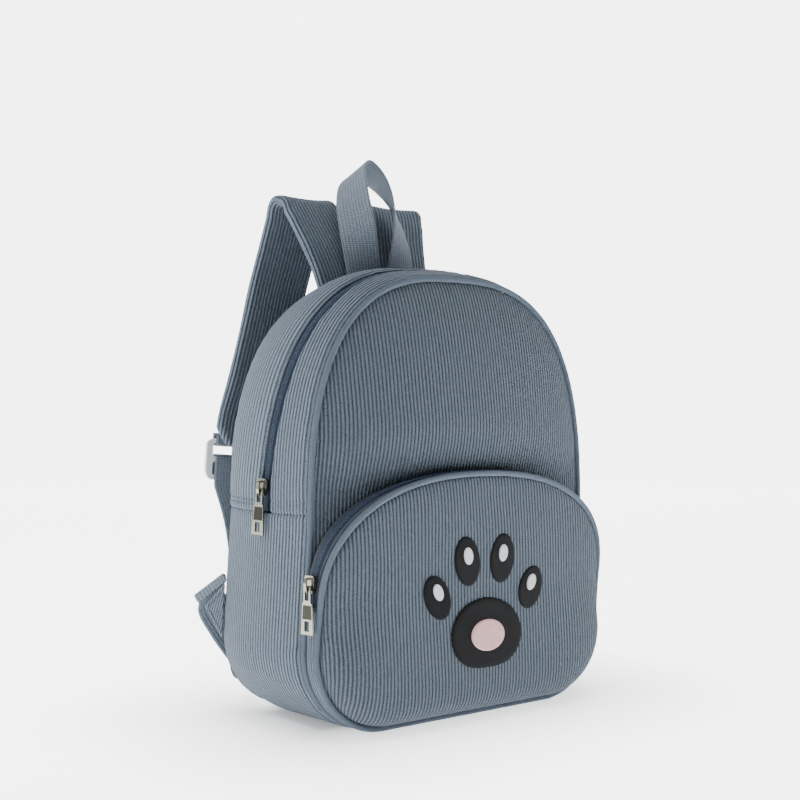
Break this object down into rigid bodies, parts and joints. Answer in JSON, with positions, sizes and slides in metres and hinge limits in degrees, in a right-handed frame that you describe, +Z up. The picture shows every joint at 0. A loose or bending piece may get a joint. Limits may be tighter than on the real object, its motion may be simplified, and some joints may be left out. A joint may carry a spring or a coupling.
{
  "type": "kids backpack",
  "caption": "Small ribbed-cloth child's backpack with a rounded top, zipped gusset, zipped front pocket with a paw, webbing handle and padded shoulder straps",
  "frame": {"origin": "middle of the flat base, on the floor", "axes": "+Z up, the zipped front pocket faces -Y, +X to the right of someone facing the front"},
  "size_m": [0.283, 0.1812, 0.3945],
  "materials": {
    "panel_cloth": "ribbed slate blue cloth",
    "band_cloth": "ribbed slate blue cloth, ribs along the band",
    "piping_cloth": "smooth slate blue cloth round a cord",
    "zip_tape": "dark blue-grey tape with a nylon coil",
    "webbing": "woven slate blue webbing",
    "nickel": "pale nickel-plated metal",
    "black_thread": "black embroidery thread",
    "white_thread": "white embroidery thread",
    "pink_thread": "pale pink embroidery thread"
  },
  "bodies": {
    "bag": {"front_panel": "panel_cloth", "back_panel": "panel_cloth", "gusset_front_strip": "band_cloth", "gusset_back_strip": "band_cloth", "gusset_lower": "band_cloth", "front_piping": "piping_cloth", "main_zipper": "zip_tape", "main_slider": "nickel", "pocket_zipper": "zip_tape", "pocket_slider": "nickel", "pocket_panel": "panel_cloth", "pocket_side_strip": "band_cloth", "pocket_piping": "piping_cloth", "paw_heel_pad": "black_thread", "paw_toe_outer_left": "black_thread", "paw_toe_inner_left": "black_thread", "paw_toe_inner_right": "black_thread", "paw_toe_outer_right": "black_thread", "paw_heel_centre": "pink_thread", "paw_toe_centre_outer_left": "white_thread", "paw_toe_centre_inner_left": "white_thread", "paw_toe_centre_inner_right": "white_thread", "paw_toe_centre_outer_right": "white_thread", "handle": "webbing", "shoulder_strap_left": "panel_cloth", "strap_loop_left": "webbing", "buckle_left": "nickel", "lower_webbing_left": "webbing", "corner_tab_left": "panel_cloth", "shoulder_strap_right": "panel_cloth", "strap_loop_right": "webbing", "buckle_right": "nickel", "lower_webbing_right": "webbing", "corner_tab_right": "panel_cloth"},
    "main_pull": {"main_pull": "nickel"},
    "pocket_pull": {"pocket_pull": "nickel"}
  },
  "joints": [
    {"name": "main_pull_swing", "type": "hinge", "parent": "bag", "child": "main_pull", "pos_m": [-0.13497, -0.01166, 0.15725], "axis": [-0.3419, 0.9386, 0.0473], "range_deg": [0, 160]},
    {"name": "pocket_pull_swing", "type": "hinge", "parent": "bag", "child": "pocket_pull", "pos_m": [-0.13002, -0.05959, 0.09881], "axis": [-0.2588, 0.9659, 0], "range_deg": [0, 160]}
  ]
}
